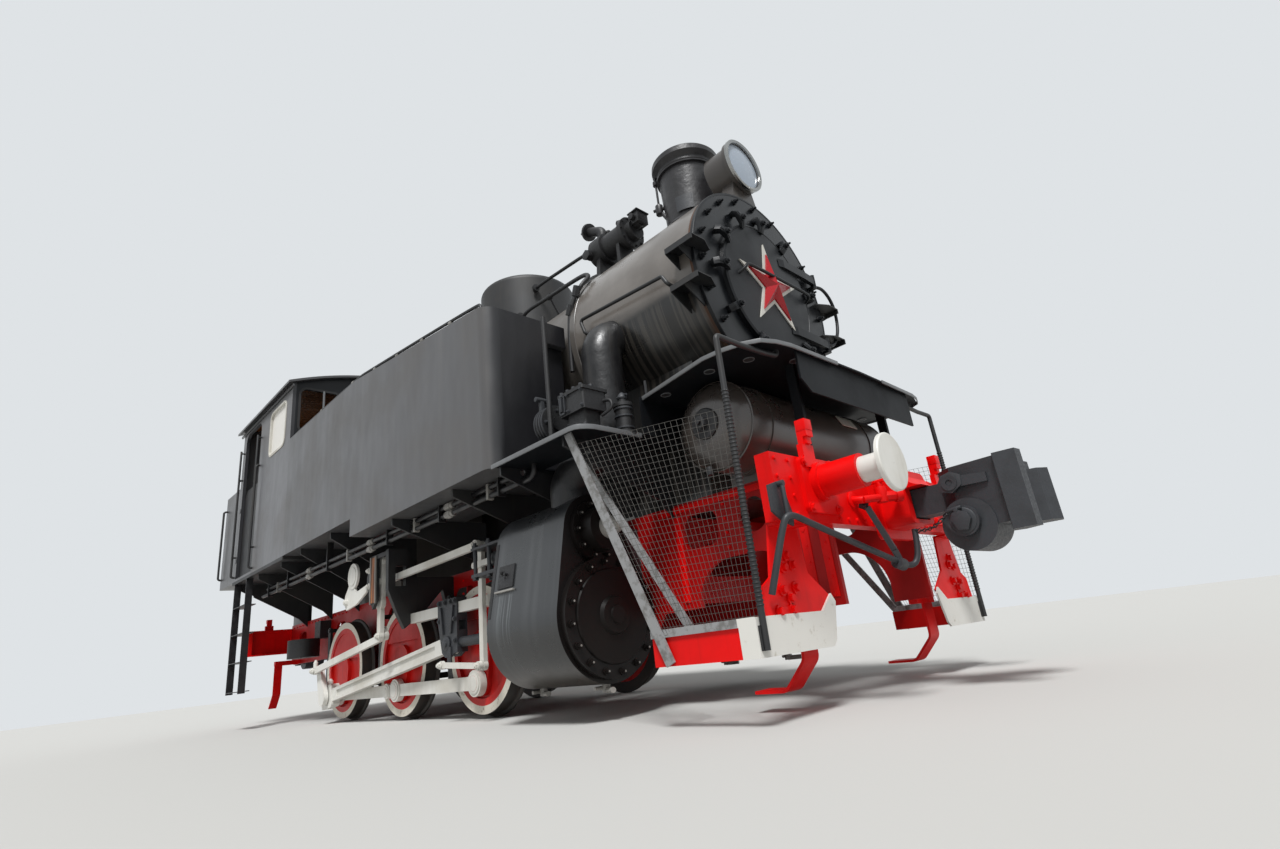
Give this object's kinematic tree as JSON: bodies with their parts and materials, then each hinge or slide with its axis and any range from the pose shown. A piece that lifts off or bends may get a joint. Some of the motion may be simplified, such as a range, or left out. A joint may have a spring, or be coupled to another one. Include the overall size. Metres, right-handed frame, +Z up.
{
  "type": "steam locomotive",
  "caption": "Six-wheeled steam tank locomotive with side tanks, an arched cab, outside cylinders and an open valve gear.",
  "frame": {"origin": "on the ground under the middle of the overall length, level with the wheel flanges", "axes": "+X forward to the smokebox, +Y to the left, +Z up"},
  "size_m": [11, 3.24, 4.4098],
  "materials": {
    "wheel_red": "semi-gloss enamel",
    "tread_steel": "turned steel",
    "rod_white": "semi-gloss enamel",
    "frame_red": "semi-gloss enamel",
    "buffer_white": "semi-gloss enamel",
    "coupler_grey": "painted casting",
    "boiler_grey": "semi-gloss enamel",
    "smokebox_black": "heat-proof paint",
    "dome_black": "semi-gloss enamel",
    "body_grey": "semi-gloss enamel",
    "lid_dark": "semi-gloss enamel",
    "roof_dark": "weathered enamel",
    "floor_dark": "chequered steel",
    "leaf_dark": "semi-gloss enamel",
    "cylinder_dark": "semi-gloss enamel",
    "bracket_dark": "semi-gloss enamel",
    "pipe_dark": "semi-gloss enamel",
    "deck_dark": "weathered enamel",
    "reservoir_black": "gloss enamel",
    "step_light": "semi-gloss enamel",
    "brake_dark": "painted casting"
  },
  "bodies": {
    "root": {"main_rods": "rod_white", "main_frame": "frame_red", "buffer_beams": "frame_red", "buffers": "buffer_white", "couplers": "coupler_grey", "boiler": "boiler_grey", "smokebox": "smokebox_black", "chimney": "smokebox_black", "domes": "dome_black", "headlight": "smokebox_black", "turbo_generator": "dome_black", "side_tanks": "body_grey", "tank_brackets": "frame_red", "cab_front": "body_grey", "cab_sides": "body_grey", "cab_rear": "body_grey", "cab_roof": "roof_dark", "cab_floor": "floor_dark", "coal_bunker": "body_grey", "cylinders": "cylinder_dark", "slide_bars": "rod_white", "crossheads": "rod_white", "motion_brackets": "bracket_dark", "valve_gear": "rod_white", "pipes": "pipe_dark", "front_deck": "deck_dark", "air_reservoir": "reservoir_black", "steps": "step_light", "rail_guards": "frame_red", "lubricators": "deck_dark", "handrails": "pipe_dark", "brake_gear": "brake_dark"},
    "rear_wheelset": {"rear_wheelset": "wheel_red", "rear_tyres": "tread_steel"},
    "middle_wheelset": {"middle_wheelset": "wheel_red", "middle_tyres": "tread_steel"},
    "front_wheelset": {"front_wheelset": "wheel_red", "front_tyres": "tread_steel"},
    "right_coupling_rod": {"right_coupling_rod": "rod_white"},
    "left_coupling_rod": {"left_coupling_rod": "rod_white"},
    "smokebox_door": {"smokebox_door": "smokebox_black"},
    "right_cab_door": {"right_cab_door": "leaf_dark"},
    "left_cab_door": {"left_cab_door": "leaf_dark"},
    "right_filler_lid": {"right_filler_lid": "lid_dark"},
    "left_filler_lid": {"left_filler_lid": "lid_dark"}
  },
  "joints": [
    {"name": "middle_wheelset_turn", "type": "hinge", "parent": "root", "child": "middle_wheelset", "pos_m": [-0.225, 0, 0.553], "axis": [0, 1, 0], "continuous": true},
    {"name": "rear_wheelset_turn", "type": "hinge", "parent": "root", "child": "rear_wheelset", "pos_m": [-1.725, 0, 0.553], "axis": [0, 1, 0], "continuous": true},
    {"name": "front_wheelset_turn", "type": "hinge", "parent": "root", "child": "front_wheelset", "pos_m": [1.275, 0, 0.553], "axis": [0, 1, 0], "continuous": true},
    {"name": "right_coupling_rod_turn", "type": "hinge", "parent": "middle_wheelset", "child": "right_coupling_rod", "pos_m": [-0.225, -0.906, 0.283], "axis": [0, 1, 0], "continuous": true},
    {"name": "left_coupling_rod_turn", "type": "hinge", "parent": "middle_wheelset", "child": "left_coupling_rod", "pos_m": [0.045, 0.906, 0.553], "axis": [0, 1, 0], "continuous": true},
    {"name": "smokebox_door_swing", "type": "hinge", "parent": "root", "child": "smokebox_door", "pos_m": [4.15, 0.72, 2.847], "axis": [0, 0, 1], "range_deg": [0, 100]},
    {"name": "right_cab_door_swing", "type": "hinge", "parent": "root", "child": "right_cab_door", "pos_m": [-3.875, -1.49, 2.5], "axis": [0, 0, 1], "range_deg": [0, 90]},
    {"name": "left_cab_door_swing", "type": "hinge", "parent": "root", "child": "left_cab_door", "pos_m": [-3.875, 1.49, 2.5], "axis": [0, 0, -1], "range_deg": [0, 90]},
    {"name": "right_filler_lid_lift", "type": "hinge", "parent": "root", "child": "right_filler_lid", "pos_m": [-0.5, -0.92, 3.382], "axis": [-1, 0, 0], "range_deg": [0, 110]},
    {"name": "left_filler_lid_lift", "type": "hinge", "parent": "root", "child": "left_filler_lid", "pos_m": [-0.5, 0.92, 3.382], "axis": [1, 0, 0], "range_deg": [0, 110]}
  ],
  "couplings": [
    {"joint": "rear_wheelset_turn", "follows": "middle_wheelset_turn", "ratio": 1},
    {"joint": "front_wheelset_turn", "follows": "middle_wheelset_turn", "ratio": 1},
    {"joint": "right_coupling_rod_turn", "follows": "middle_wheelset_turn", "ratio": -1},
    {"joint": "left_coupling_rod_turn", "follows": "middle_wheelset_turn", "ratio": -1}
  ]
}
